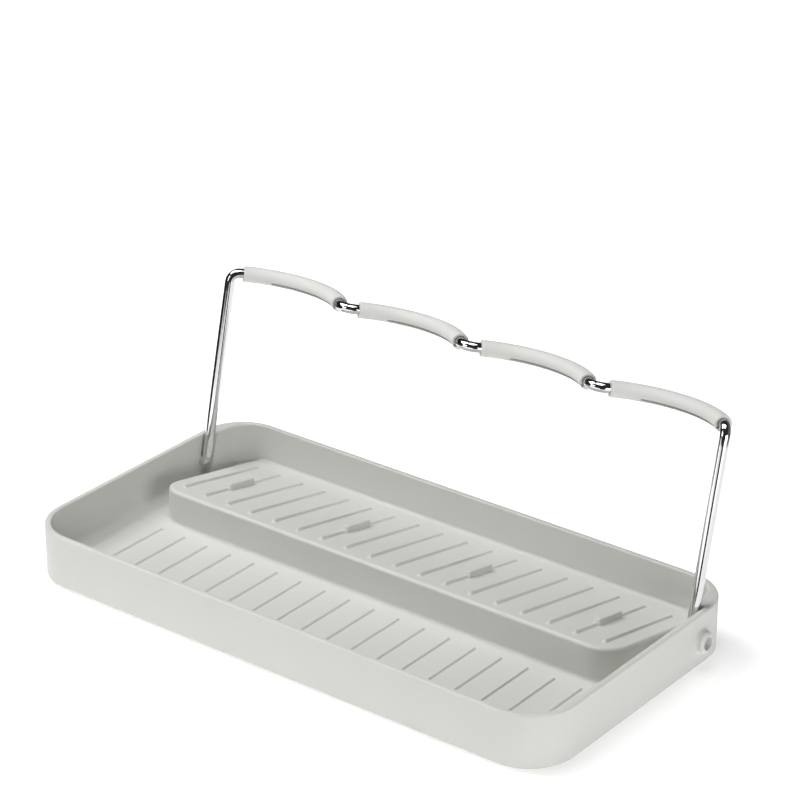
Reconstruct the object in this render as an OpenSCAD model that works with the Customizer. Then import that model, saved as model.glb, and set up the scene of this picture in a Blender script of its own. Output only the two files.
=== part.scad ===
/* [Tray] */
// Length of the tray, left to right
tray_l = 330; // [320:1:340]
// Depth of the tray, front to back
tray_d = 169; // [165:1:180]
// Height of the moulded wall, from its bottom edge to the rim
wall_h = 29.5; // [28:0.5:34]
// Plan radius of the four outer corners
corner_r = 26.5; // [24:0.5:30]
// Thickness of the outer wall
wall_t = 3.4; // [3:0.1:4]
// Thickness of the floor and of the platform's skin
skin_t = 2.5; // [2:0.1:3]
// Height of the floor's top face above the wall's bottom edge
floor_h = 5; // [4.5:0.1:6]

/* [Platform] */
// Length of the raised platform
platform_l = 293; // [290:1:296]
// Height of the platform's front edge above the wall's bottom edge
platform_h = 24.2; // [22:0.1:25]
// Slope of the platform down towards the back, in degrees
platform_slope = 11.4; // [10:0.1:12.5]
// Plan radius of the platform's two front corners
platform_r = 15; // [12:1:18]
// Distance of the platform's front face from the tray's front face
platform_y = 83.5; // [80:0.5:86]

/* [Ribs] */
// Distance from one drainage rib to the next
rib_pitch = 16; // [15.5:0.1:16]
// Width of a half-round rib
rib_w = 2.2; // [1.8:0.1:2.6]
// Length of the lug that centres a bottle neck
lug_l = 20; // [16:1:22]
// Width of the lug
lug_w = 3.2; // [2.6:0.1:4]
// Height of the lug above the platform
lug_h = 3.5; // [3:0.1:5]

/* [Support frame] */
// Diameter of the stainless wire
wire_d = 5.5; // [5:0.1:5.6]
// Distance between bottle places, which is also the scallop pitch
bottle_pitch = 80; // [78:1:80]
// Distance from the hinge axis to the scalloped bar
leg_l = 108; // [100:1:112]
// Backward lean of the open frame, in degrees
lean = 13.3; // [11:0.1:15]
// Radius of a scallop along the wire's centre line
scallop_r = 46.5; // [46:0.5:48]
// Radius of the forward cusp between two scallops
cusp_r = 7.5; // [7:0.1:8]
// Distance of each leg from the middle
leg_x = 158; // [157.8:0.1:158.2]
// Angle through which the frame folds forward, shown from open
fold = 0; // [0:1:106]

/* [Sleeves] */
// Outer diameter of the silicone sleeve
sleeve_d = 8.7; // [8:0.1:9]
// Half of the angle that the sleeve covers on its scallop
sleeve_angle = 46; // [44:0.5:46.5]

/* [Hidden] */
$fn = 48;
bottles = 4;
// feet
foot_d = 12;
foot_drop = 1;
foot_x = tray_l / 2 - 12.5;
foot_y = tray_d / 2 - 21.5;
// levels above the table
base_z = foot_drop;
rim_z = base_z + wall_h;
floor_z = base_z + floor_h;
under_z = floor_z - skin_t;
platform_z = base_z + platform_h;
// plan of the tray, measured from its own centre
inner_l = tray_l - 2 * wall_t;
inner_d = tray_d - 2 * wall_t;
inner_r = corner_r - wall_t;
platform_front = platform_y - tray_d / 2;
platform_back = inner_d / 2;
// hinge
pivot_y = tray_d / 2 - 33.2;
pivot_z = base_z + 13.8;
wire_r = wire_d / 2;
hinge_clearance = 0.08;
hinge_r = wire_r + hinge_clearance;
boss_h = 4;
boss_d = 13.6;
boss_tip_d = 9.8;
mouth_r = 3.4;
mouth_depth = 2.4;
wall_x = inner_l / 2;
boss_x = tray_l / 2 + boss_h;
foot_end_x = boss_x - mouth_depth - 0.2;
// corner blocks that the open legs lean back on
stop_x = 155.2;
stop_gap = 0.3;
stop_top_z = rim_z;
// wire bends
bend_r = 5;
ankle_r = 3.8;
joint_proud = 0.03;
// scallops: the big arc and the small cusp arc meet where their normals agree
pair_r = scallop_r + cusp_r;
meet_angle = asin(bottle_pitch / 2 / pair_r);
end_reach = leg_x - (bottles - 1) / 2 * bottle_pitch;
end_angle = asin(end_reach / norm([scallop_r, bend_r])) - atan(bend_r / scallop_r);
// local v of the scallop centres, with the leg line at v = 0
centre_v = bend_r * sin(end_angle) - scallop_r * cos(end_angle);
cusp_v = centre_v + pair_r * cos(meet_angle);
peak_v = centre_v + scallop_r;
bottle_x = [for (i = [0 : bottles - 1]) (i - (bottles - 1) / 2) * bottle_pitch];
cusp_x = [for (i = [1 : bottles - 1]) (i - bottles / 2) * bottle_pitch];
// sleeves
sleeve_bore_d = wire_d + 0.1;
slit_w = 0.9;
slit_start = 0.22;
// whole object: its middle in y is half way between the tray's front and the sleeves' back
back_y = pivot_y + leg_l * sin(lean) + peak_v * cos(lean) + sleeve_d / 2;
middle_y = (back_y - tray_d / 2) / 2;

// Height of the platform's face at a distance y from the tray's centre
function platform_top(y) = platform_z - (y - platform_front) * tan(platform_slope);

// Moves the tray's own frame so that the origin lies under the middle of the whole object
module placed() {
    translate([0, -middle_y, 0])
        children();
}

// Rectangle with round corners, centred
module round_rect(l, d, r) {
    square([l - 2 * r, d], center = true);
    square([l, d - 2 * r], center = true);
    for (sx = [-1, 1], sy = [-1, 1])
        translate([sx * (l / 2 - r), sy * (d / 2 - r)])
            circle(r, $fn = 96);
}

// Round-cornered plate between two heights
module round_plate(l, d, r, z0, z1) {
    translate([0, 0, z0])
        linear_extrude(z1 - z0)
            round_rect(l, d, r);
}

// Plan of the platform: two round front corners, running on past the back wall's face
module platform_plan(inset) {
    front = platform_front + inset;
    half = platform_l / 2 - inset;
    r = platform_r - inset;
    back = platform_back + 1;
    translate([-half + r, front])
        square([2 * (half - r), back - front]);
    translate([-half, front + r])
        square([2 * half, back - front - r]);
    for (s = [-1, 1])
        translate([s * (half - r), front + r])
            circle(r, $fn = 64);
}

// Wedge under the sloping face, cut to the platform's plan
module platform_wedge(inset, z0, drop) {
    y0 = platform_front - 1;
    y1 = platform_back + 1;
    intersection() {
        translate([0, 0, z0])
            linear_extrude(platform_z)
                platform_plan(inset);
        translate([-platform_l / 2, 0, 0])
            rotate([90, 0, 90])
                linear_extrude(platform_l)
                    polygon([[y0, z0], [y1, z0], [y1, platform_top(y1) - drop],
                             [y0, platform_top(y0) - drop]]);
    }
}

// Half-buried round bar along the platform's slope or along the flat floor
module rib(x, y0, y1, z0, z1) {
    run = norm([y1 - y0, z1 - z0]);
    translate([x, y0, z0])
        rotate([atan2(z1 - z0, y1 - y0), 0, 0])
            rotate([-90, 0, 0])
                cylinder(d = rib_w, h = run, $fn = 20);
}

// Block in a rear corner: its slanted front face is the stop behind an open leg
module leg_stop() {
    reach = (wire_r + stop_gap) / cos(lean);
    low_y = pivot_y + (under_z - pivot_z) * tan(lean) + reach;
    high_y = pivot_y + (stop_top_z - pivot_z) * tan(lean) + reach;
    back = tray_d / 2 - wall_t / 2;
    intersection() {
        translate([stop_x, 0, 0])
            rotate([90, 0, 90])
                linear_extrude(wall_x + wall_t / 2 - stop_x)
                    polygon([[low_y, under_z], [back, under_z], [back, stop_top_z],
                             [high_y, stop_top_z]]);
        round_plate(tray_l - wall_t, tray_d - wall_t, corner_r - wall_t / 2, under_z, stop_top_z);
    }
}

// Round boss outside an end wall, with a rounded nose
module hinge_boss() {
    nose_r = (boss_d - boss_tip_d) / 2;
    translate([tray_l / 2 - 1, pivot_y, pivot_z])
        rotate([0, 90, 0])
            rotate_extrude($fn = 64)
                union() {
                    square([boss_tip_d / 2, boss_h + 1]);
                    square([boss_d / 2, boss_h + 1 - nose_r]);
                    translate([boss_tip_d / 2, boss_h + 1 - nose_r])
                        circle(nose_r, $fn = 32);
                }
}

// Hinge bore with the wider mouth that the wire end stands in
module hinge_hole() {
    translate([wall_x - 8, pivot_y, pivot_z])
        rotate([0, 90, 0])
            cylinder(r = hinge_r, h = 8 + wall_t + boss_h + 1, $fn = 48);
    translate([boss_x - mouth_depth, pivot_y, pivot_z])
        rotate([0, 90, 0])
            cylinder(r = mouth_r, h = mouth_depth + 1, $fn = 48);
}

// Moulded tray: wall, floor, hollow platform, ribs, lugs, leg stops and hinge bosses
module tray() {
    floor_rib_y = [-tray_d / 2 + 12.5, platform_front - 9.5];
    color([0.80, 0.80, 0.78])
        placed()
            difference() {
                union() {
                    difference() {
                        round_plate(tray_l, tray_d, corner_r, base_z, rim_z);
                        round_plate(inner_l, inner_d, inner_r, floor_z, rim_z + 1);
                    }
                    platform_wedge(0, under_z, 0);
                    for (s = [0, 1])
                        mirror([s, 0, 0]) {
                            leg_stop();
                            hinge_boss();
                        }
                    for (i = [-9.5 : 9.5])
                        rib(i * rib_pitch, floor_rib_y[0], floor_rib_y[1], floor_z, floor_z);
                    for (i = [-8.5 : 8.5]) {
                        y0 = platform_front + (abs(i) > 8 ? 10.7 : 8.2);
                        y1 = platform_back - 12.8;
                        rib(i * rib_pitch, y0, y1, platform_top(y0), platform_top(y1));
                    }
                    for (x = bottle_x)
                        translate([x, platform_front + 26.5, platform_top(platform_front + 26.5)])
                            rotate([-platform_slope, 0, 0])
                                translate([-lug_w / 2, 0, -1])
                                    cube([lug_w, lug_l, lug_h + 1]);
                }
                round_plate(inner_l, inner_d, inner_r, base_z - 1, under_z);
                platform_wedge(skin_t, base_z - 1, skin_t);
                for (s = [0, 1])
                    mirror([s, 0, 0])
                        hinge_hole();
            }
}

// Stands its children, drawn with the hinge axis at the origin, on the leaning or folded frame
module on_frame() {
    placed()
        translate([0, pivot_y, pivot_z])
            rotate([fold - lean, 0, 0])
                children();
}

// Arc of wire in the bar's plane, from one angle to another
module bar_arc(r, from, to) {
    rotate([0, 0, from])
        rotate_extrude(angle = to - from, $fn = 120)
            translate([r, 0])
                circle(d = wire_d, $fn = 24);
}

// Ball that joins two bends of the wire, a hair proud of it
module bend_joint() {
    sphere(r = wire_r + joint_proud, $fn = 32);
}

// Scallop with the joints at its two ends; the angles are measured from its peak
module scallop(left, right) {
    bar_arc(scallop_r, 90 - right, 90 + left);
    for (a = [90 - right, 90 + left])
        rotate([0, 0, a])
            translate([scallop_r, 0, 0])
                bend_joint();
}

// One leg: bend from the bar, straight leg, ankle bend and the foot that turns in the boss
module leg() {
    translate([leg_x - bend_r * cos(end_angle), bend_r * sin(end_angle), leg_l - bend_r])
        rotate([0, 0, -end_angle])
            rotate([90, 0, 0])
                rotate_extrude(angle = 90, $fn = 48)
                    translate([bend_r, 0])
                        circle(d = wire_d, $fn = 24);
    translate([leg_x, 0, leg_l - bend_r])
        bend_joint();
    translate([leg_x, 0, ankle_r])
        cylinder(d = wire_d, h = leg_l - bend_r - ankle_r, $fn = 24);
    translate([leg_x + ankle_r, 0, ankle_r])
        rotate([90, 0, 0])
            rotate([0, 0, 180])
                rotate_extrude(angle = 90, $fn = 48)
                    translate([ankle_r, 0])
                        circle(d = wire_d, $fn = 24);
    translate([leg_x + ankle_r, 0, 0])
        rotate([0, 90, 0])
            cylinder(d = wire_d, h = foot_end_x - leg_x - ankle_r, $fn = 24);
}

// Support frame: one polished wire bent into two legs and a bar of four scallops
module wire_frame() {
    color([0.75, 0.75, 0.76])
        on_frame() {
            for (i = [0 : bottles - 1])
                translate([bottle_x[i], centre_v, leg_l])
                    scallop(i == 0 ? end_angle : meet_angle,
                            i == bottles - 1 ? end_angle : meet_angle);
            for (x = cusp_x)
                translate([x, cusp_v, leg_l])
                    bar_arc(cusp_r, 270 - meet_angle, 270 + meet_angle);
            for (s = [0, 1])
                mirror([s, 0, 0])
                    leg();
        }
}

// Sleeve on scallop i: a tube bent to the scallop, slit along its underside for most of its length
module sleeve(i) {
    whole = 2 * sleeve_angle * slit_start;
    color([0.86, 0.86, 0.84])
        on_frame()
            translate([bottle_x[i], centre_v, leg_l])
                difference() {
                    rotate([0, 0, 90 - sleeve_angle])
                        rotate_extrude(angle = 2 * sleeve_angle, $fn = 120)
                            translate([scallop_r, 0])
                                difference() {
                                    circle(d = sleeve_d, $fn = 32);
                                    circle(d = sleeve_bore_d, $fn = 32);
                                }
                    rotate([0, 0, 90 - sleeve_angle - 1])
                        rotate_extrude(angle = 2 * sleeve_angle + 1 - whole, $fn = 120)
                            translate([scallop_r - slit_w / 2, -sleeve_d])
                                square([slit_w, sleeve_d - wire_r]);
                }
}

// Rubber foot in a corner of the recess under the floor
module foot(sx, sy) {
    color([0.25, 0.25, 0.26])
        placed()
            translate([sx * foot_x, sy * foot_y, 0])
                cylinder(d = foot_d, h = under_z, $fn = 40);
}

tray();
wire_frame();
sleeve(0);  // sleeve_1
sleeve(1);  // sleeve_2
sleeve(2);  // sleeve_3
sleeve(3);  // sleeve_4
foot(-1, -1);  // foot_front_left
foot(1, -1);  // foot_front_right
foot(-1, 1);  // foot_rear_left
foot(1, 1);  // foot_rear_right
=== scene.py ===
import math

import bmesh
import bpy
import numpy as np
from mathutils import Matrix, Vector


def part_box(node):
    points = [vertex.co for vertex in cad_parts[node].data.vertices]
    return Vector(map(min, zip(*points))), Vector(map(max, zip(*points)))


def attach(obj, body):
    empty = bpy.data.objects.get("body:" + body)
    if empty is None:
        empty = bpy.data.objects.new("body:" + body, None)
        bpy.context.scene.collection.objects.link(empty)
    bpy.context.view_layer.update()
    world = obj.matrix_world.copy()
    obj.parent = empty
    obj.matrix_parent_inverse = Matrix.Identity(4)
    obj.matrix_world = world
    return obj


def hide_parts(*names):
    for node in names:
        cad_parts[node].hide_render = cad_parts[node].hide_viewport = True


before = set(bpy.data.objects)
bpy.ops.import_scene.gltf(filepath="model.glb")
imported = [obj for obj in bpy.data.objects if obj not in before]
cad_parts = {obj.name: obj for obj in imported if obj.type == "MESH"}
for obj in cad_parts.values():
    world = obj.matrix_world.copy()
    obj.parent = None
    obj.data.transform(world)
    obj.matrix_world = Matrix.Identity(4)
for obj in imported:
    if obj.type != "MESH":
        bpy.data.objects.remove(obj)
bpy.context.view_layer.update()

# --- Camera, floor and light -------------------------------------------------
# A long lens looks down across the tray from the front right. The floor is one pale sweep that
# shows a little light of its own. One soft box hangs overhead and the key comes from the upper
# left, with weaker boxes in front and on the right.

MM = 0.001
CAMERA_AZIMUTH = math.radians(37.75)
CAMERA_ELEVATION = math.radians(25.29)
CAMERA_DISTANCE = 1518.5 * MM
tray_low, tray_high = (np.array(corner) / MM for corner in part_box("tray"))
TRAY_CENTRE_Y = (tray_low[1] + tray_high[1]) / 2
CAMERA_AIM = np.array([0.0, TRAY_CENTRE_Y + 21.7, 109.5]) * MM
CAMERA_LENS = 136.0


def direction(azimuth, elevation):
    """Unit vector from an aim point towards a viewer: azimuth turns from -Y to +X."""
    flat = math.cos(elevation)
    return np.array([math.sin(azimuth) * flat, -math.cos(azimuth) * flat, math.sin(elevation)])


def face_towards(thing, aim):
    """Turns a camera or light so that its -Z axis points at the aim."""
    back = np.array(thing.location) - aim
    length = np.linalg.norm(back)
    thing.rotation_euler = (math.acos(back[2] / length), 0.0, math.atan2(back[0], -back[1]))


camera = bpy.data.objects.new("camera", bpy.data.cameras.new("camera"))
camera.data.lens = CAMERA_LENS
camera.data.sensor_width = 36.0
camera.data.clip_end = 50.0
camera.location = CAMERA_AIM + direction(CAMERA_AZIMUTH, CAMERA_ELEVATION) * CAMERA_DISTANCE
face_towards(camera, CAMERA_AIM)
bpy.context.scene.collection.objects.link(camera)
bpy.context.scene.camera = camera
bpy.context.scene.view_settings.view_transform = "Standard"


class Value:
    """A node socket that can be added and multiplied: each operator adds one Math node."""

    def __init__(self, tree, socket):
        self.tree = tree
        self.socket = socket

    def math(self, operation, other):
        node = self.tree.nodes.new("ShaderNodeMath")
        node.operation = operation
        self.tree.links.new(self.socket, node.inputs[0])
        if isinstance(other, Value):
            self.tree.links.new(other.socket, node.inputs[1])
        else:
            node.inputs[1].default_value = other
        return Value(self.tree, node.outputs[0])

    def __add__(self, other):
        return self.math("ADD", other)

    def __mul__(self, other):
        return self.math("MULTIPLY", other)

    __radd__ = __add__
    __rmul__ = __mul__


class Finish:
    """A material built from nodes around one Principled shader."""

    def __init__(self, name, **constants):
        self.material = bpy.data.materials.new(name)
        self.material.use_nodes = True
        self.tree = self.material.node_tree
        self.tree.nodes.clear()
        self.shader = self.tree.nodes.new("ShaderNodeBsdfPrincipled")
        output = self.tree.nodes.new("ShaderNodeOutputMaterial")
        self.tree.links.new(self.shader.outputs[0], output.inputs["Surface"])
        for socket, value in constants.items():
            self.shader.inputs[socket.replace("_", " ")].default_value = value

    def node(self, kind, settings=(), output=0, **sockets):
        """Adds a node: its settings first, then the value or link of each named socket."""
        made = self.tree.nodes.new("ShaderNode" + kind)
        for name, value in dict(settings).items():
            setattr(made, name, value)
        for name, value in sockets.items():
            self.plug(made.inputs[name.replace("_", " ")], value)
        return Value(self.tree, made.outputs[output])

    def plug(self, socket, value):
        if isinstance(value, Value):
            self.tree.links.new(value.socket, socket)
        else:
            socket.default_value = value

    def set(self, socket, value):
        self.plug(self.shader.inputs[socket], value)

    def between(self, mask, low, high):
        """Colour that goes from low to high as the mask goes from 0 to 1; either may be a Value."""
        made = self.tree.nodes.new("ShaderNodeMix")
        made.data_type = "RGBA"
        self.plug(made.inputs[0], mask)
        for place, colour in ((6, low), (7, high)):
            self.plug(made.inputs[place], colour if isinstance(colour, Value) else (*colour, 1.0))
        return Value(self.tree, made.outputs[2])


def add_mesh(name, points, quads, uv=None):
    """Makes a mesh object from points in millimetres, its quads and, if given, a UV per point."""
    mesh = bpy.data.meshes.new(name)
    points = np.asarray(points, float).reshape(-1, 3) * MM
    quads = np.asarray(quads, np.int32).reshape(-1, 4)
    mesh.vertices.add(len(points))
    mesh.vertices.foreach_set("co", points.ravel())
    mesh.loops.add(quads.size)
    mesh.loops.foreach_set("vertex_index", quads.ravel())
    mesh.polygons.add(len(quads))
    mesh.polygons.foreach_set("loop_start", np.arange(len(quads), dtype=np.int32) * 4)
    mesh.polygons.foreach_set("loop_total", np.full(len(quads), 4, np.int32))
    mesh.update(calc_edges=True)
    if uv is not None:
        layer = mesh.uv_layers.new(name="along")
        layer.data.foreach_set("uv", np.asarray(uv, float)[quads.ravel()].ravel())
    made = bpy.data.objects.new(name, mesh)
    bpy.context.scene.collection.objects.link(made)
    return made


SHARP_ANGLE = math.radians(38)


def close_mesh(made, fill=False):
    """Merges corners that meet, fills an open rim if asked, and turns every face outwards."""
    work = bmesh.new()
    work.from_mesh(made.data)
    bmesh.ops.remove_doubles(work, verts=work.verts, dist=0.002 * MM)
    bmesh.ops.dissolve_degenerate(work, edges=work.edges, dist=0.0005 * MM)
    if fill:
        bmesh.ops.holes_fill(work, edges=[e for e in work.edges if e.is_boundary], sides=0)
    bmesh.ops.recalc_face_normals(work, faces=work.faces)
    for face in work.faces:
        face.smooth = len(face.verts) < 5
    for edge in work.edges:
        edge.smooth = edge.calc_face_angle(0.0) < SHARP_ANGLE
    work.to_mesh(made.data)
    work.free()
    return made


def grid_quads(rows, columns, wrap_rows=False, wrap_columns=False):
    """Quads of a grid of rows by columns of points, numbered row by row."""
    down = np.arange(rows if wrap_rows else rows - 1)
    along = np.arange(columns if wrap_columns else columns - 1)
    row, column = np.meshgrid(down, along, indexing="ij")
    next_row, next_column = (row + 1) % rows, (column + 1) % columns
    corners = [row * columns + column, row * columns + next_column,
               next_row * columns + next_column, next_row * columns + column]
    return np.stack(corners, -1).reshape(-1, 4)


FLOOR_SIDE = 24.0
BACKDROP_H = 8.0
GLOW_NEAR = 0.40
GLOW_FAR = 1.0
floor_finish = Finish("pale_sweep", Roughness=0.9)
haze = floor_finish.node("TexNoise", Scale=1.5, Detail=2.0)
floor_finish.set("Base Color", floor_finish.between(haze, (0.93, 0.93, 0.93), (0.95, 0.95, 0.95)))
spot = floor_finish.node("TexCoord", output="Object")
distance = floor_finish.node("VectorMath", {"operation": "LENGTH"}, output="Value", Vector=spot)
far = floor_finish.node("MapRange", {"interpolation_type": "SMOOTHSTEP"},
                        Value=distance, From_Min=0.35, From_Max=1.1)
floor_finish.set("Emission Color", floor_finish.between(far, (GLOW_NEAR,) * 3, (GLOW_FAR,) * 3))
floor_finish.set("Emission Strength", 1.0)
corner = FLOOR_SIDE / 2 / MM
floor = add_mesh("floor", [[-corner, -corner, 0], [corner, -corner, 0],
                           [corner, corner, 0], [-corner, corner, 0]], [[0, 1, 2, 3]])
floor.data.materials.append(floor_finish.material)

# A drum of white paper stands round the floor's edge as the background of low views. Only the
# camera sees it, so it lights nothing.
turn = np.radians(np.arange(0, 360, 7.5))
hoop = np.stack([np.cos(turn), np.sin(turn), 0 * turn], -1) * FLOOR_SIDE / 2 / MM
drum = add_mesh("backdrop", [hoop, hoop + [0, 0, BACKDROP_H / MM]],
                grid_quads(2, len(turn), wrap_columns=True))
drum.data.materials.append(floor_finish.material)
drum.visible_diffuse = drum.visible_glossy = drum.visible_shadow = False


BOX_SIDE = 0.8
BOX_DISTANCE = 1.6
BOX_AIM = np.array([0.0, 0.0, 0.02])


def soft_box(name, azimuth, elevation, power):
    """Square area light that faces the tray from a direction, azimuth 0 being the front."""
    lamp = bpy.data.objects.new(name, bpy.data.lights.new(name, "AREA"))
    lamp.data.shape = "SQUARE"
    lamp.data.size = BOX_SIDE
    lamp.data.energy = power
    way = direction(math.radians(azimuth), math.radians(elevation))
    lamp.location = BOX_AIM + way * BOX_DISTANCE
    face_towards(lamp, BOX_AIM)
    bpy.context.scene.collection.objects.link(lamp)


soft_box("overhead_box", -90.0, 88.0, 10.5)
soft_box("key_box", -80.0, 55.0, 14.0)
soft_box("front_box", -30.0, 25.0, 4.0)
soft_box("right_box", 70.0, 6.0, 12.0)


def card(name, azimuth, distance, width, height, glow):
    """Upright card on the floor, seen only in reflections: it puts a dark or grey streak on the wire.

    Azimuth and distance place its middle, and glow is how light it looks.
    """
    across = direction(math.radians(azimuth + 90.0), 0.0) * width / 2 / MM
    middle = direction(math.radians(azimuth), 0.0) * distance / MM
    rise = np.array([0.0, 0.0, height / MM])
    made = add_mesh(name, [middle - across, middle + across, middle + across + rise,
                           middle - across + rise], [[0, 1, 2, 3]])
    paint = Finish(name, Roughness=1.0)
    weave = paint.node("TexNoise", Scale=300.0)
    paint.set("Base Color", paint.between(weave, (0.004, 0.004, 0.004), (0.012, 0.012, 0.012)))
    paint.set("Emission Color", (glow, glow, glow, 1.0))
    paint.set("Emission Strength", 1.0)
    made.data.materials.append(paint.material)
    made.visible_camera = made.visible_diffuse = made.visible_shadow = False


card("front_card", 42.0, 0.42, 0.22, 0.30, 0.0)
card("left_card", -99.0, 0.32, 0.95, 0.30, 0.0)
card("back_card", 145.0, 0.41, 0.80, 0.30, 0.12)

sky = bpy.data.worlds.new("studio")
sky.use_nodes = True
sky.node_tree.nodes["Background"].inputs["Color"].default_value = (1.0, 1.0, 1.0, 1.0)
sky.node_tree.nodes["Background"].inputs["Strength"].default_value = 0.03
bpy.context.scene.world = sky

# --- Tray --------------------------------------------------------------------
# One injection moulding in light warm-grey plastic: wall and rim, a low front floor, a hollow
# platform that slopes down to the back, drainage ribs, neck lugs, leg stops and hinge bosses.
# All lengths are millimetres; plan places are measured from the tray's own centre.

BASE_Z = tray_low[2]
RIM_Z = tray_high[2]
HALF_D = (tray_high[1] - tray_low[1]) / 2
BOSS_H = 4.0
HALF_L = tray_high[0] - BOSS_H
CORNER_R = 26.5
WALL_T = 3.4
SKIN_T = 2.5
FLOOR_Z = BASE_Z + 5.0
UNDER_Z = FLOOR_Z - SKIN_T
CORE_X = HALF_L - CORNER_R
CORE_Y = HALF_D - CORNER_R
INNER_Y = HALF_D - WALL_T


def arc(centre, radius, start, end, count):
    """Points of a circular arc, angles in degrees."""
    angle = np.radians(np.linspace(start, end, count))
    return np.stack([centre[0] + radius * np.cos(angle), centre[1] + radius * np.sin(angle)], -1)


def in_place(points):
    """Shifts points from the tray's own centre to the frame's origin."""
    return points + np.array([0.0, TRAY_CENTRE_Y, 0.0])


def tray_plan(inset, rows=26, corner_steps=14, straight_steps=40):
    """Plan grid of the tray's rounded rectangle, moved in by an inset.

    Column x runs round the left corner by angle, straight across, and round the right corner.
    Each column's rows share the depth of the outline at that x.
    """
    radius = CORNER_R - inset
    turn = np.radians(np.linspace(90, 0, corner_steps + 1))
    left_x = -CORE_X - radius * np.sin(turn)
    left_y = CORE_Y + radius * np.cos(turn)
    straight = np.linspace(-CORE_X, CORE_X, straight_steps + 1)[1:-1]
    x = np.concatenate([left_x, straight, -left_x[::-1]])
    depth = np.concatenate([left_y, np.full(len(straight), CORE_Y + radius), left_y[::-1]])
    share = np.linspace(-1, 1, rows)
    return np.stack(np.broadcast_arrays(x[None, :], share[:, None] * depth[None, :]), -1)


def rim_loop(grid):
    """The grid's outline, anticlockwise from its back left corner."""
    return np.concatenate([grid[:0:-1, 0], grid[0, :-1], grid[:-1, -1], grid[-1, :0:-1]])


def wall_profile():
    """Section of the wall as (inset, height): floor fillet, inner face, rim, outer face, underside."""
    foot_r, rim_in_r, rim_out_r, edge_r, draft = 3.5, 0.9, 1.2, 1.6, 0.35
    inner = WALL_T + draft
    return np.concatenate([
        arc((inner + foot_r, FLOOR_Z + foot_r), foot_r, 270, 180, 9),
        arc((WALL_T - rim_in_r, RIM_Z - rim_in_r), rim_in_r, 0, 90, 6),
        arc((rim_out_r, RIM_Z - rim_out_r), rim_out_r, 90, 180, 7),
        arc((edge_r, BASE_Z + edge_r), edge_r, 180, 270, 7),
        [[WALL_T - 0.3, BASE_Z], [WALL_T, BASE_Z + 0.3], [WALL_T, UNDER_Z]],
    ])


def make_pan():
    """Wall profile carried round the outline, closed by a floor grid and an underside grid."""
    profile = wall_profile()
    outline = rim_loop(tray_plan(0.0))
    core = np.clip(outline, [-CORE_X, -CORE_Y], [CORE_X, CORE_Y])
    outward = (outline - core) / CORNER_R
    ring = core[None] + outward[None] * (CORNER_R - profile[:, 0])[:, None, None]
    height = np.broadcast_to(profile[:, 1][:, None, None], ring.shape[:2] + (1,))
    wall = np.concatenate([ring, height], -1)
    points, quads = [wall.reshape(-1, 3)], [grid_quads(*wall.shape[:2], wrap_columns=True)]
    for inset, z in (profile[0], profile[-1]):
        plan = tray_plan(inset)
        flat = np.concatenate([plan, np.full(plan.shape[:2] + (1,), z)], -1)
        quads.append(grid_quads(*plan.shape[:2]) + sum(len(p) for p in points))
        points.append(flat.reshape(-1, 3))
    return close_mesh(add_mesh("tray_pan", in_place(np.concatenate(points)), np.concatenate(quads)))


PLATFORM_HALF = 146.5
PLATFORM_FRONT = -1.0
PLATFORM_R = 15.0
PLATFORM_Z = BASE_Z + 24.2
SLOPE = math.tan(math.radians(11.4))
PLATFORM_CORE_X = PLATFORM_HALF - PLATFORM_R
PLATFORM_CORE_Y = PLATFORM_FRONT + PLATFORM_R


def platform_top(y):
    """Height of the sloping face at a distance y from the tray's centre."""
    return PLATFORM_Z - (y - PLATFORM_FRONT) * SLOPE


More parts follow.
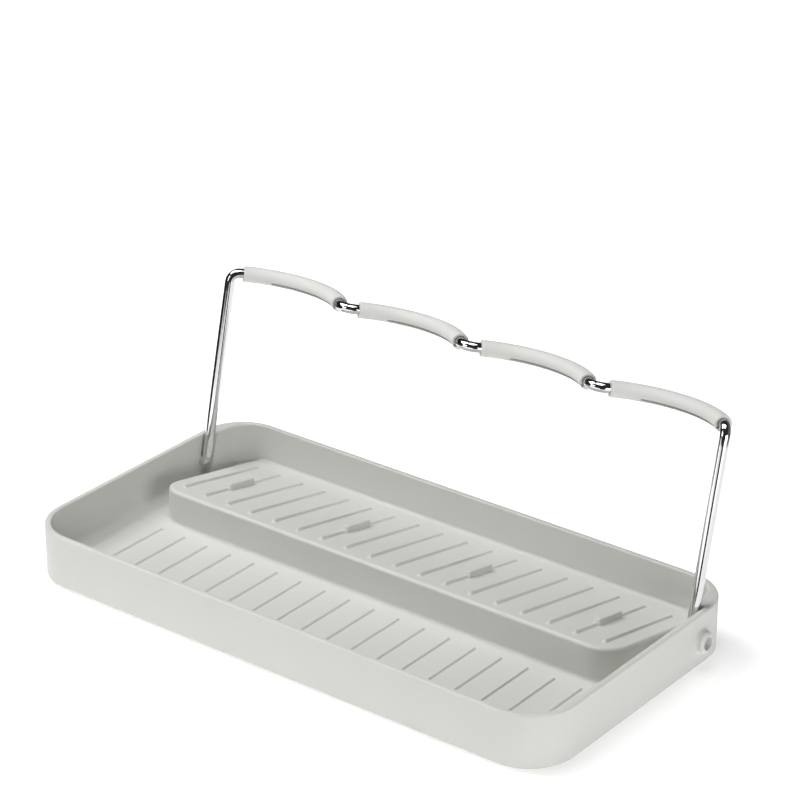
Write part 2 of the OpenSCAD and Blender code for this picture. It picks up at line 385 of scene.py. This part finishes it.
def make_platform():
    """Top grid over the sloping face and its rear fillet, with a skirt swept round three sides.

    The skirt rolls over the edge, drops with a little draft and flares out at the floor. Both
    radii shrink where the face comes down close to the floor.
    """
    edge_r, foot_r, back_r, draft, buried = 1.9, 2.0, 2.6, math.radians(1.5), 0.7
    face_rows = 23
    root = math.hypot(1.0, SLOPE)
    fillet_centre = (INNER_Y - back_r, platform_top(INNER_Y - back_r) + back_r * root)
    fillet = arc(fillet_centre, back_r, -90 - math.degrees(math.atan(SLOPE)), 0, 10)
    fillet = np.concatenate([fillet, [[INNER_Y + 0.6, fillet[-1, 1] + 0.4]]])
    turn = np.radians(np.linspace(90, 0, 15))
    top_r = PLATFORM_R - edge_r
    left_x = -PLATFORM_CORE_X - top_r * np.sin(turn)
    left_y = PLATFORM_CORE_Y - top_r * np.cos(turn)
    straight = np.linspace(-PLATFORM_CORE_X, PLATFORM_CORE_X, 60)[1:-1]
    x = np.concatenate([left_x, straight, -left_x[::-1]])
    front = np.concatenate([left_y, np.full(len(straight), PLATFORM_CORE_Y - top_r), left_y[::-1]])
    share = np.linspace(0, 1, face_rows + 1)[:-1, None]
    y = np.concatenate([front + share * (fillet[0, 0] - front), fillet[:, :1] + 0 * front])
    z = np.concatenate([platform_top(y[:face_rows]), fillet[:, 1:] + 0 * front])
    top = np.stack([np.broadcast_to(x, y.shape), y, z], -1)
    path = np.concatenate([top[:0:-1, 0], top[0, :-1], top[:, -1]])
    core = np.clip(path[:, :2], [-PLATFORM_CORE_X, PLATFORM_CORE_Y], [PLATFORM_CORE_X, 1e3])
    outward = path[:, :2] - core
    outward /= np.linalg.norm(outward, axis=1)[:, None]
    room = np.minimum(1.0, (path[:, 2] - FLOOR_Z) / (edge_r + foot_r + 0.4))
    rise = np.arctan(-SLOPE * outward[:, 1])
    steep = -np.pi / 2 + draft
    share = np.linspace(0, 1, 8)[:, None]
    over = rise + share * (steep - rise)
    over_out = edge_r * room * (np.sin(rise) - np.sin(over))
    over_up = edge_r * room * (np.cos(over) - np.cos(rise))
    foot = steep * (1 - share)
    foot_r = foot_r * room
    foot_rise = foot_r * (1 - np.cos(foot))
    drop = path[:, 2] + over_up[-1] - FLOOR_Z - foot_rise[0]
    foot_start = over_out[-1] + drop * math.tan(draft)
    foot_out = foot_start + foot_r * (np.sin(foot) - np.sin(steep))
    out = np.concatenate([over_out, foot_out, foot_out[-1:] + 0.1])
    up = np.concatenate([path[:, 2] + over_up, FLOOR_Z + foot_rise, 0 * drop[None] + FLOOR_Z - buried])
    skirt = np.stack([path[:, 0] + outward[:, 0] * out, path[:, 1] + outward[:, 1] * out, up], -1)
    bottom = np.stack([skirt[-1], skirt[-1] * 0 + [0.0, INNER_Y / 2, FLOOR_Z - buried]])
    points, quads = [], []
    for patch in (top, skirt, bottom):
        quads.append(grid_quads(*patch.shape[:2]) + sum(len(p) for p in points))
        points.append(patch.reshape(-1, 3))
    made = add_mesh("tray_platform", in_place(np.concatenate(points)), np.concatenate(quads))
    return close_mesh(made, fill=True)


def loft(name, rings, uv=None):
    """Closed skin over a stack of rings; a first or last ring that is still open gets a cap."""
    rings = np.asarray(rings, float)
    made = add_mesh(name, rings.reshape(-1, 3), grid_quads(*rings.shape[:2], wrap_columns=True), uv)
    return close_mesh(made, fill=True)


def make_hollow():
    """Wedge that empties the platform from below, one skin thickness inside its faces."""
    below = BASE_Z - 2.0
    radius = PLATFORM_R - SKIN_T
    half, front, back = PLATFORM_HALF - SKIN_T, PLATFORM_FRONT + SKIN_T, INNER_Y - SKIN_T
    plan = np.concatenate([
        [[-half, back]],
        arc((-half + radius, front + radius), radius, 180, 270, 9),
        arc((half - radius, front + radius), radius, 270, 360, 9),
        [[half, back]],
    ])
    low = np.column_stack([plan, np.full(len(plan), below)])
    high = np.column_stack([plan, platform_top(plan[:, 1]) - SKIN_T])
    middle = (front + back) / 2
    rings = [low * 0 + [0, middle, below], low, high,
             high * 0 + [0, middle, platform_top(middle) - SKIN_T]]
    return loft("hollow", in_place(np.array(rings)))


def cut(made, tool):
    """Subtracts one closed mesh from another."""
    step = made.modifiers.new("cut", "BOOLEAN")
    step.operation = "DIFFERENCE"
    step.solver = "EXACT"
    step.object = tool
    result = bpy.data.meshes.new_from_object(made.evaluated_get(bpy.context.evaluated_depsgraph_get()))
    made.modifiers.clear()
    made.data = result


RIB_PITCH = 16.0
FLOOR_RIB_FRONT = -72.0
FLOOR_RIB_BACK = -11.0
PLATFORM_RIB_FRONT = PLATFORM_FRONT + 8.2
OUTER_RIB_FRONT = PLATFORM_FRONT + 10.7
PLATFORM_RIB_BACK = 68.3
LUG_X = (-120.0, -40.0, 40.0, 120.0)


def floor_level(y):
    """Height of the front floor at a distance y from the tray's centre: flat."""
    return 0 * y + FLOOR_Z


def make_rib(x, start, end, height_of, foot, knob, rise_start, rise_end):
    """Rounded rib: stadium rings around the line from start to end, with a knob at the start.

    The height over the face is the rib's rise times a raised cosine of the distance to the line.
    """
    neck = 1.2 * knob * foot / (end - start)
    share = np.concatenate([np.zeros(9), [neck, 0.4, 0.7], np.ones(9), [0.7, 0.4, neck]])
    swollen = np.where(share > 0, 1.0, knob)
    turn = np.concatenate([np.linspace(180, 360, 9), [0, 0, 0], np.linspace(0, 180, 9), [180] * 3])
    turn = np.radians(turn)
    part = np.array([0, 1, 1, 0.86, 0.72, 0.58, 0.44, 0.3, 0.15, 0])[:, None]
    reach = part * foot * swollen
    lift = np.array([-0.6, -0.6, -0.04, 0, 0, 0, 0, 0, 0, 0])[:, None]
    swell = 0.5 + 0.5 * np.cos(np.pi * part)
    swell[0] = 0.0
    rise = (rise_start + share * (rise_end - rise_start)) * (0.5 + 0.5 * swollen)
    y = start + share * (end - start) + reach * np.sin(turn)
    z = height_of(y) + lift + swell * rise
    return np.stack([x + reach * np.cos(turn), y, z], -1)


def make_lug(x):
    """Neck lug: rounded-rectangle rings up a small block whose top edge is rounded over."""
    half_w, half_l, height, corner_r, top_r = 1.6, 10.0, 3.5, 0.8, 0.5
    middle = PLATFORM_FRONT + 26.5 + half_l
    corners = [arc((sx * (half_w - corner_r), sy * (half_l - corner_r)), corner_r, a, a + 90, 6)
               for sx, sy, a in ((1, 1, 0), (-1, 1, 90), (-1, -1, 180), (1, -1, 270))]
    plan = np.concatenate(corners)
    normal = plan - np.clip(plan, [corner_r - half_w, corner_r - half_l],
                            [half_w - corner_r, half_l - corner_r])
    normal /= np.linalg.norm(normal, axis=1)[:, None]
    over = np.radians(np.linspace(0, 90, 5))
    inset = np.concatenate([[0, -0.5, -0.15], top_r * (1 - np.cos(over))])
    level = np.concatenate([[-1.0, 0.0, 0.5], height - top_r + top_r * np.sin(over)])
    rings = [np.column_stack([plan * 0, np.full(len(plan), -1.0)])]
    rings += [np.column_stack([plan - normal * i, np.full(len(plan), h)]) for i, h in zip(inset, level)]
    rings += [np.column_stack([plan * [0, 0.9], np.full(len(plan), height)])]
    rings = np.array(rings)
    across, up = rings[..., 1].copy(), rings[..., 2].copy()
    tilt = math.atan(SLOPE)
    rings[..., 0] += x
    rings[..., 1] = middle + across * math.cos(tilt) + up * math.sin(tilt)
    rings[..., 2] = platform_top(middle) - across * math.sin(tilt) + up * math.cos(tilt)
    return rings


LEAN = math.radians(13.3)
WIRE_R = 2.75
PIVOT_Y = HALF_D - 33.2
PIVOT_Z = BASE_Z + 13.8
STOP_X = 155.2


def make_leg_stop(side):
    """Corner block behind an open leg: plan rings whose front edge leans back as they rise.

    A fillet, tangent to the block's inner side and to the tray's inner corner, joins the two.
    The last ring folds the outer points onto the inner ones, which closes the top.
    """
    gap, sunk, front_points = 0.3, 0.03, 17
    reach = (WIRE_R + gap) / math.cos(LEAN)
    edge_r, blend_r, top_r = 1.2, 14.0, 1.4
    shell = CORNER_R - WALL_T / 2
    blend_x = STOP_X - blend_r
    blend_y = CORE_Y + math.sqrt((CORNER_R - WALL_T - blend_r) ** 2 - (blend_x - CORE_X) ** 2)
    blend_end = math.degrees(math.atan2(blend_y - CORE_Y, blend_x - CORE_X))

    def plan(front, inset):
        return np.concatenate([
            [[HALF_L - WALL_T / 2, front + inset]],
            arc((STOP_X + inset + edge_r, front + inset + edge_r), edge_r, 270, 180, 6),
            [[STOP_X + inset, 0.5 * (front + blend_y)]],
            arc((blend_x, blend_y), blend_r + inset, 0, blend_end, 9),
            arc((CORE_X, CORE_Y), shell, blend_end - 1, 5, front_points),
        ])

    over = np.radians(np.linspace(0, 90, 6))
    level = np.concatenate([np.linspace(FLOOR_Z - 1.0, RIM_Z - top_r - sunk, 6)[:-1],
                            RIM_Z - sunk - top_r + top_r * np.sin(over)])
    inset = np.concatenate([np.zeros(5), top_r * (1 - np.cos(over))])
    rings = []
    for z, i in zip(level, inset):
        flat = plan(PIVOT_Y + (z - PIVOT_Z) * math.tan(LEAN) + reach, i)
        rings.append(np.column_stack([flat, np.full(len(flat), z)]))
    fold = np.concatenate([np.arange(front_points), np.arange(front_points)[::-1]])
    return np.array([rings[0][fold]] + rings + [rings[-1][fold]]) * [side, 1, 1]


def make_boss(side):
    """Hinge boss turned round the hinge axis: flared foot, rounded nose, wide mouth, bore."""
    tip, mouth, bore = HALF_L + BOSS_H, 3.4, WIRE_R + 0.08
    section = np.concatenate([
        [[HALF_L - 2.0, bore], [HALF_L - 2.0, 7.4]],
        arc((HALF_L + 1.95, 7.5), 2.0, 180, 250, 8),
        arc((tip - 2.2, 3.7), 2.2, 68, 4, 9),
        arc((tip - 0.35, mouth + 0.35), 0.35, 0, -90, 4),
        [[tip - 3.2, mouth], [tip - 3.2, bore]],
    ])
    turn = np.radians(np.arange(0, 360, 7.5))
    x = np.broadcast_to(section[:, :1] * side, (len(section), len(turn)))
    y = PIVOT_Y + section[:, 1:] * np.cos(turn)
    z = PIVOT_Z + section[:, 1:] * np.sin(turn)
    return np.stack([x, y, z], -1)


hollow = make_hollow()
tray_parts = [make_pan(), make_platform()]
for part in tray_parts:
    cut(part, hollow)
bpy.data.objects.remove(hollow)

floor_ribs = [make_rib(i * RIB_PITCH, FLOOR_RIB_FRONT, FLOOR_RIB_BACK, floor_level,
                       foot=1.15, knob=1.0, rise_start=0.9, rise_end=0.9)
              for i in np.arange(-9.5, 10)]
platform_ribs = [make_rib(i * RIB_PITCH, OUTER_RIB_FRONT if abs(i) > 8 else PLATFORM_RIB_FRONT,
                          PLATFORM_RIB_BACK, platform_top,
                          foot=1.3, knob=1.4, rise_start=1.5, rise_end=0.9)
                 for i in np.arange(-8.5, 9)]
lugs = [make_lug(x) for x in LUG_X]
for name, rings in ([("rib", r) for r in floor_ribs + platform_ribs] + [("lug", r) for r in lugs]
                    + [("leg_stop", make_leg_stop(side)) for side in (-1, 1)]):
    tray_parts.append(loft(name, in_place(rings)))
for side in (-1, 1):
    rings = in_place(make_boss(side))
    quads = grid_quads(*rings.shape[:2], wrap_rows=True, wrap_columns=True)
    tray_parts.append(close_mesh(add_mesh("hinge_boss", rings, quads)))


def join(name, parts):
    """Joins parts into the first one and gives it the name."""
    bpy.ops.object.select_all(action="DESELECT")
    for part in parts:
        part.select_set(True)
    bpy.context.view_layer.objects.active = parts[0]
    bpy.ops.object.join()
    parts[0].name = name
    return parts[0]


tray = join("moulded_tray", tray_parts)

tray_plastic = Finish("warm_grey_moulded_plastic", IOR=1.46)
place = tray_plastic.node("TexCoord", output="Object")
grain = tray_plastic.node("TexNoise", Vector=place, Scale=2600.0, Detail=2.0, Roughness=0.6)
cloud = tray_plastic.node("TexNoise", Vector=place, Scale=22.0, Detail=3.0)
tray_plastic.set("Base Color", tray_plastic.between(cloud, (0.650, 0.658, 0.625), (0.676, 0.684, 0.650)))
tray_plastic.set("Roughness", 0.44 + 0.10 * cloud + 0.06 * grain)
tray_plastic.set("Normal", tray_plastic.node("Bump", Height=grain, Strength=0.12, Distance=0.00012))
tray.data.materials.clear()
tray.data.materials.append(tray_plastic.material)
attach(tray, "base")
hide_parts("tray")

# --- Support frame -----------------------------------------------------------
# One stainless wire, fed and bent like on a bending machine: foot, ankle, leg, bar of four
# scallops with three forward cusps, and back down the other side, then polished bright.

LEG_L = 108.0
SCALLOP_R = 46.5
CUSP_R = 7.5
BEND_R = 5.0
ANKLE_R = 3.8
LEG_X = 158.0
PLACES = 4
PLACE_PITCH = 80.0
MEET = math.asin(PLACE_PITCH / 2 / (SCALLOP_R + CUSP_R))
REACH = LEG_X - (PLACES - 1) / 2 * PLACE_PITCH
END = math.asin(REACH / math.hypot(SCALLOP_R, BEND_R)) - math.atan(BEND_R / SCALLOP_R)
SCALLOP_V = BEND_R * math.sin(END) - SCALLOP_R * math.cos(END)
FOOT_END_X = HALF_L + BOSS_H - 2.8


def on_frame(points):
    """Leans points, drawn with the hinge axis along X through the origin, and moves them home."""
    x, v, w = np.moveaxis(np.asarray(points, float), -1, 0)
    y = TRAY_CENTRE_Y + PIVOT_Y + v * math.cos(LEAN) + w * math.sin(LEAN)
    z = PIVOT_Z - v * math.sin(LEAN) + w * math.cos(LEAN)
    return np.stack([x, y, z], -1)


def turned(vectors, axis, angle):
    """Rodrigues' formula: vectors turned about a unit axis by each angle."""
    c, s = np.cos(angle)[:, None], np.sin(angle)[:, None]
    along = (vectors @ axis) * axis
    return along + (vectors - along) * c + np.cross(axis, vectors) * s


def bend_wire(start, moves, step=1.2):
    """Follows straight feeds and bends, carrying the wire's frame of tangent and two normals.

    A feed is its length; a bend is (axis, radius, angle). The centre of a bend lies a radius to
    the side that the axis turns towards.
    """
    place = np.array(start, float)
    basis = np.eye(3)
    stations = [(place[None], basis[None])]
    for move in moves:
        if isinstance(move, tuple):
            axis, radius, angle = np.array(move[0], float), move[1], move[2]
            count = max(3, int(angle * (radius + WIRE_R) / step))
            angles = np.linspace(0, angle, count + 1)[1:]
            centre = place + np.cross(axis, basis[0]) * radius
            path = centre + turned(place - centre, axis, angles)
            frames = np.stack([turned(b, axis, angles) for b in basis], 1)
        else:
            count = max(1, int(move / (step * 4)))
            path = place + basis[0] * (np.linspace(0, move, count + 1)[1:, None])
            frames = np.broadcast_to(basis, (count, 3, 3))
        stations.append((path, frames))
        place, basis = path[-1], frames[-1]
    return (np.concatenate(part) for part in zip(*stations))


def tube(name, path, frames, radius, sides):
    """Round wire along a path, its two ends rounded over; u runs along it and v around it."""
    turn = np.linspace(0, 2 * np.pi, sides, endpoint=False)
    around = frames[:, 1, None] * np.cos(turn)[:, None] + frames[:, 2, None] * np.sin(turn)[:, None]
    end_r = 0.5
    over = np.radians([0, 30, 60, 90])[:, None, None]
    size, inward = radius - end_r + end_r * np.sin(over), end_r * (1 - np.cos(over))
    rings = np.concatenate([
        np.broadcast_to(path[0], (1, sides, 3)),
        path[0] + frames[0, 0] * inward + around[0] * size,
        path[1:-1, None] + around[1:-1] * radius,
        (path[-1] - frames[-1, 0] * inward + around[-1] * size)[::-1],
        np.broadcast_to(path[-1], (1, sides, 3)),
    ])
    step = np.linalg.norm(np.diff(rings.mean(1), axis=0), axis=1)
    along = np.concatenate([[0], np.cumsum(step)]) * MM
    uv = np.stack(np.broadcast_arrays(along[:, None], (turn / (2 * np.pi))[None]), -1)
    return loft(name, on_frame(rings), uv.reshape(-1, 2))


up = math.cos(END), math.sin(END)
quarter = math.pi / 2
leg_feed = LEG_L - BEND_R - ANKLE_R
foot_feed = FOOT_END_X - LEG_X - ANKLE_R
moves = [foot_feed, ((0, -1, 0), ANKLE_R, quarter), leg_feed,
         ((-up[1], up[0], 0), BEND_R, quarter), ((0, 0, -1), SCALLOP_R, END + MEET)]
for _ in range(PLACES - 2):
    moves += [((0, 0, 1), CUSP_R, 2 * MEET), ((0, 0, -1), SCALLOP_R, 2 * MEET)]
moves += [((0, 0, 1), CUSP_R, 2 * MEET), ((0, 0, -1), SCALLOP_R, MEET + END),
          ((up[1], up[0], 0), BEND_R, quarter), leg_feed, ((0, -1, 0), ANKLE_R, quarter), foot_feed]
wire_path, wire_frames = bend_wire((-FOOT_END_X, 0, 0), moves)
wire = tube("bent_wire", wire_path, wire_frames, WIRE_R, 28)

polished_wire = Finish("polished_stainless", Metallic=1.0)
along = polished_wire.node("UVMap", {"uv_map": "along"})
stretch = polished_wire.node("Mapping", Vector=along, Scale=(60.0, 14.0, 1.0))
polish = polished_wire.node("TexNoise", Vector=stretch, Scale=1.0, Detail=3.0)
polished_wire.set("Base Color", polished_wire.between(polish, (0.66, 0.66, 0.67), (0.75, 0.75, 0.75)))
polished_wire.set("Roughness", 0.03 + 0.05 * polish)
polished_wire.set("Normal", polished_wire.node("Bump", Height=polish, Strength=0.05, Distance=0.00005))
wire.data.materials.append(polished_wire.material)
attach(wire, "support")
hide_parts("wire_frame")

# --- Sleeves -----------------------------------------------------------------
# Four off-white silicone sleeves are pushed over the scallops through a slit that runs along
# the lower front. They keep glass and steel from touching the wire.

SLEEVE_R = 4.35
SLEEVE_BORE_R = 2.8
SLEEVE_HALF = math.radians(46.0)
SLIT_START = 0.22
SLIT_TURN = math.radians(222.0)
SLIT_HALF = math.radians(13.0)
SLIT_DEPTH = 0.95

silicone = Finish("off_white_silicone", IOR=1.41)
place = silicone.node("TexCoord", output="Object")
dust = silicone.node("TexNoise", Vector=place, Scale=900.0, Detail=3.0)
soft = silicone.node("TexNoise", Vector=place, Scale=60.0, Detail=2.0)
skin = silicone.between(soft, (0.675, 0.675, 0.655), (0.715, 0.715, 0.695))
# Painted shade: inside the slit the colour is mixed towards near black by the slit's depth, kept in the
# UV map's v.
depth = silicone.node("SeparateXYZ", output="Y", Vector=silicone.node("UVMap", {"uv_map": "along"}))
silicone.set("Base Color", silicone.between(depth, skin, (0.21, 0.21, 0.20)))
silicone.set("Roughness", 0.50 + 0.12 * dust)
silicone.set("Normal", silicone.node("Bump", Height=dust, Strength=0.10, Distance=0.0001))


def make_sleeve(index):
    """Tube bent to a scallop: one closed path of (arc angle, radius) turned about the arc.

    The path runs along the outside, over the rounded end, back along the bore and over the other
    end. A slit is a notch in the outer radius around one direction, fading in along the sleeve;
    its depth, 0 to 1, is kept as the v of the UV map and paints shade into the slit, darkening the
    silicone there towards near black.
    """
    end_r, chamfer, sides = 0.5, 0.45, 48
    over = np.radians(np.linspace(0, 90, 5))
    shift = end_r / SCALLOP_R
    body = np.linspace(-SLEEVE_HALF + shift, SLEEVE_HALF - shift, 49)
    corner_a, corner_r = shift * np.sin(over), SLEEVE_R - end_r * (1 - np.cos(over))
    lip = np.array([SLEEVE_BORE_R + chamfer])
    angle = np.concatenate([body, SLEEVE_HALF - shift + corner_a[1:], [SLEEVE_HALF], body[::-1],
                            [-SLEEVE_HALF], -SLEEVE_HALF + shift - corner_a[:0:-1]])
    radius = np.concatenate([body * 0 + SLEEVE_R, corner_r[1:], lip, body * 0 + SLEEVE_BORE_R,
                             lip, corner_r[:0:-1]])
    edge = SLIT_HALF * np.array([-1.1, -1.0, -0.92, -0.5, 0.0, 0.5, 0.92, 1.0, 1.1])
    rest = np.linspace(edge[-1], 2 * np.pi + edge[0], sides)[1:-1]
    turn = SLIT_TURN + np.concatenate([edge, rest])
    gap = np.abs((turn - SLIT_TURN + np.pi) % (2 * np.pi) - np.pi) / SLIT_HALF
    share = (angle + SLEEVE_HALF) / (2 * SLEEVE_HALF)
    fade = np.clip((share - SLIT_START) / 0.015, 0, 1)[:, None]
    notch = np.clip((1.0 - gap) / 0.08, 0, 1)
    size = radius[:, None] - SLIT_DEPTH * fade * notch * (radius[:, None] - SLEEVE_BORE_R)
    out = SCALLOP_R + size * np.cos(turn)
    x = (index - (PLACES - 1) / 2) * PLACE_PITCH + out * np.sin(angle)[:, None]
    v = SCALLOP_V + out * np.cos(angle)[:, None]
    w = LEG_L + size * np.sin(turn)
    rings = on_frame(np.stack([x, v, w], -1))
    # The v holds the slit depth that paints shade into the slit.
    uv = np.stack(np.broadcast_arrays(share[:, None], fade * notch), -1).reshape(-1, 2)
    quads = grid_quads(*rings.shape[:2], wrap_rows=True, wrap_columns=True)
    made = close_mesh(add_mesh("silicone_sleeve_%d" % (index + 1), rings, quads, uv))
    made.data.materials.append(silicone.material)
    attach(made, "support")
    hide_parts("sleeve_%d" % (index + 1))


for index in range(PLACES):
    make_sleeve(index)

# --- Feet --------------------------------------------------------------------
# Four small rubber discs sit in the recess under the floor and keep the tray from sliding.
# Each is turned from one section with two grooves in its sole.

rubber = Finish("dark_rubber", IOR=1.5)
place = rubber.node("TexCoord", output="Object")
speck = rubber.node("TexNoise", Vector=place, Scale=1500.0, Detail=2.0)
rubber.set("Base Color", rubber.between(speck, (0.035, 0.035, 0.038), (0.06, 0.06, 0.063)))
rubber.set("Roughness", 0.65 + 0.2 * speck)
rubber.set("Normal", rubber.node("Bump", Height=speck, Strength=0.15, Distance=0.0001))

FOOT_R = 6.0
FOOT_EDGE_R = 0.6
for node in ("foot_front_left", "foot_front_right", "foot_rear_left", "foot_rear_right"):
    low, high = (np.array(corner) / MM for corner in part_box(node))
    centre = (low + high) / 2
    groove = np.concatenate([
        [[0, 0], [1.6, 0], [2.0, 0.5], [2.6, 0.5], [3.0, 0], [3.8, 0], [4.2, 0.5], [4.8, 0.5], [5.1, 0]],
        arc((FOOT_R - FOOT_EDGE_R, FOOT_EDGE_R), FOOT_EDGE_R, 270, 360, 5),
        [[FOOT_R, high[2]], [0, high[2]]],
    ])
    turn = np.radians(np.arange(0, 360, 9))
    rings = np.stack([centre[0] + groove[:, :1] * np.cos(turn), centre[1] + groove[:, :1] * np.sin(turn),
                      np.broadcast_to(groove[:, 1:], (len(groove), len(turn)))], -1)
    disc = loft("rubber_" + node, rings)
    disc.data.materials.append(rubber.material)
    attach(disc, "base")
    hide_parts(node)
